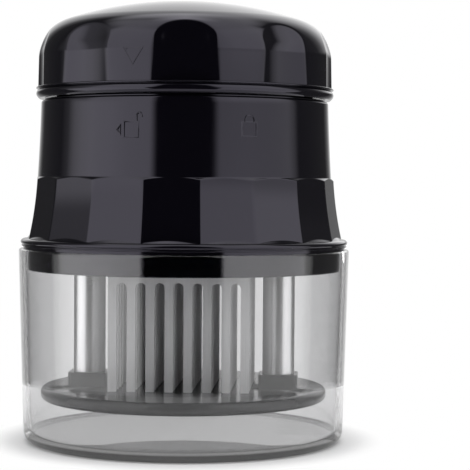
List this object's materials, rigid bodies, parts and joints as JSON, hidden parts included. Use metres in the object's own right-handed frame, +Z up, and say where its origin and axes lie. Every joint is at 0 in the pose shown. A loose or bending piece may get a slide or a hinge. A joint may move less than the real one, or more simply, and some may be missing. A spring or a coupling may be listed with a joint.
{
  "type": "blade meat tenderizer",
  "caption": "Round hand-pressed meat tenderizer: needle blade combs in a black housing with a sprung slotted press plate, a domed twist cap and a clear cup.",
  "frame": {"origin": "centre of the clear cup's underside, where the tool stands", "axes": "+Z up along the press direction, X through the two posts, -Y the front with the first blade row"},
  "size_m": [0.1, 0.1, 0.1324],
  "materials": {
    "clear_plastic": "smoke-tinted clear moulded plastic, polished",
    "black_gloss": "black moulded plastic, high gloss",
    "black_satin": "black moulded plastic, satin",
    "blade_steel": "stamped stainless sheet, fine grain along the blades",
    "polished_steel": "ground and polished stainless bar",
    "screw_steel": "plain stainless fasteners",
    "spring_steel": "drawn stainless spring wire",
    "bush_nylon": "natural nylon",
    "seal_rubber": "dark soft seal"
  },
  "bodies": {
    "cup": {"clear_cover": "clear_plastic"},
    "housing": {"housing_shell": "black_gloss", "deck_plate": "black_satin", "blade_base": "black_satin", "blade_base_screws": "screw_steel", "comb_1": "blade_steel", "comb_2": "blade_steel", "comb_3": "blade_steel", "comb_4": "blade_steel", "comb_5": "blade_steel", "comb_6": "blade_steel", "comb_7": "blade_steel", "comb_rod_left": "blade_steel", "comb_rod_right": "blade_steel", "guide_bush_left": "bush_nylon", "guide_bush_right": "bush_nylon", "spring_left": "spring_steel", "spring_right": "spring_steel", "spring_plate": "black_satin", "spring_plate_screws": "screw_steel"},
    "plate": {"press_plate": "black_gloss", "plate_screws": "screw_steel", "post_left": "polished_steel", "post_right": "polished_steel", "post_washer_left": "screw_steel", "post_washer_right": "screw_steel", "post_screws": "screw_steel"},
    "seal": {"cap_seal": "seal_rubber"},
    "cap": {"cap_shell": "black_gloss"}
  },
  "joints": [
    {"name": "lift_out", "type": "slide", "parent": "cup", "child": "housing", "axis": [0, 0, 1], "range_m": [0, 0.07]},
    {"name": "press", "type": "slide", "parent": "housing", "child": "plate", "axis": [0, 0, 1], "range_m": [0, 0.028], "stiffness_N_per_m": 450, "springref_m": -0.02, "deforming": ["spring_left", "spring_right"]},
    {"name": "cap_lift", "type": "slide", "parent": "housing", "child": "seal", "axis": [0, 0, 1], "range_m": [0, 0.03]},
    {"name": "cap_turn", "type": "hinge", "parent": "seal", "child": "cap", "pos_m": [0, 0, 0.1116], "axis": [0, 0, 1], "range_deg": [0, 45]}
  ]
}
